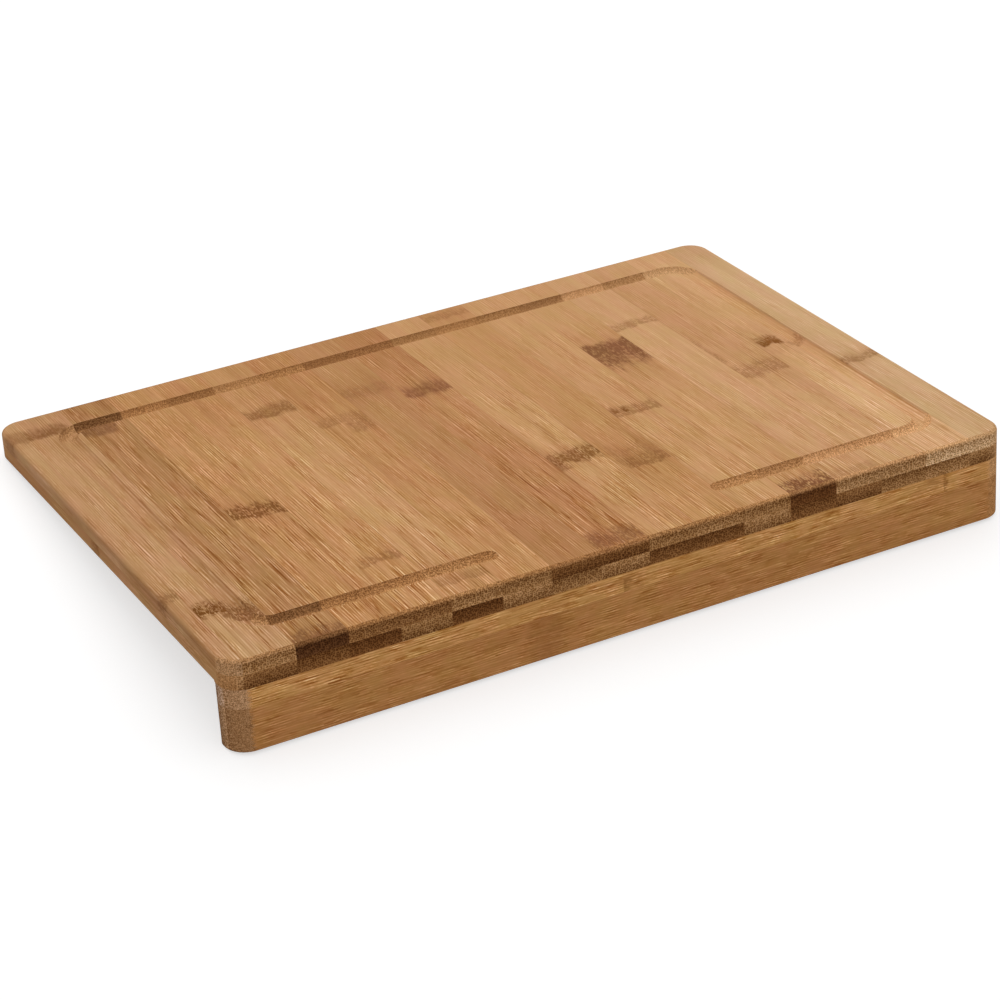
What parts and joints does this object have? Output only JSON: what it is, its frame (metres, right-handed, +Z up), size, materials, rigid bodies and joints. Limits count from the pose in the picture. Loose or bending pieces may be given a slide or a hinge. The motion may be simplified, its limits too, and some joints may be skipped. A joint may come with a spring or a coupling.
{
  "type": "bamboo cutting board",
  "caption": "Flat bamboo cutting board glued up from staves, with a juice groove round the top and a lip under the front edge that hooks over a worktop.",
  "frame": {"origin": "the corner that takes a worktop's front edge: where the board's underside meets the back face of the lip, midway along the board", "axes": "+X along the board's length, to the right as seen from the front; +Y from the lip to the back, which is the way the lip's back face looks; +Z up, square to the cutting face"},
  "size_m": [0.4, 0.28, 0.045],
  "materials": {
    "top_bamboo": "carbonised bamboo, face grain up, sanded and lightly oiled",
    "under_bamboo": "carbonised bamboo, sanded and lightly oiled",
    "lip_bamboo": "carbonised bamboo, grain along the lip, sanded and lightly oiled"
  },
  "bodies": {
    "root": {"lip_back_lower_strip": "lip_bamboo", "lip_back_upper_strip": "lip_bamboo", "lip_front_lower_strip": "lip_bamboo", "lip_front_upper_strip": "lip_bamboo", "top_stave_01": "top_bamboo", "top_stave_02": "top_bamboo", "top_stave_03": "top_bamboo", "top_stave_04": "top_bamboo", "top_stave_05": "top_bamboo", "top_stave_06": "top_bamboo", "top_stave_07": "top_bamboo", "top_stave_08": "top_bamboo", "top_stave_09": "top_bamboo", "top_stave_10": "top_bamboo", "top_stave_11": "top_bamboo", "top_stave_12": "top_bamboo", "top_stave_13": "top_bamboo", "top_stave_14": "top_bamboo", "top_stave_15": "top_bamboo", "top_stave_16": "top_bamboo", "top_stave_17": "top_bamboo", "under_stave_01": "under_bamboo", "under_stave_02": "under_bamboo", "under_stave_03": "under_bamboo", "under_stave_04": "under_bamboo", "under_stave_05": "under_bamboo", "under_stave_06": "under_bamboo", "under_stave_07": "under_bamboo", "under_stave_08": "under_bamboo", "under_stave_09": "under_bamboo", "under_stave_10": "under_bamboo", "under_stave_11": "under_bamboo", "under_stave_12": "under_bamboo", "under_stave_13": "under_bamboo", "under_stave_14": "under_bamboo", "under_stave_15": "under_bamboo", "under_stave_16": "under_bamboo", "under_stave_17": "under_bamboo"}
  },
  "joints": []
}
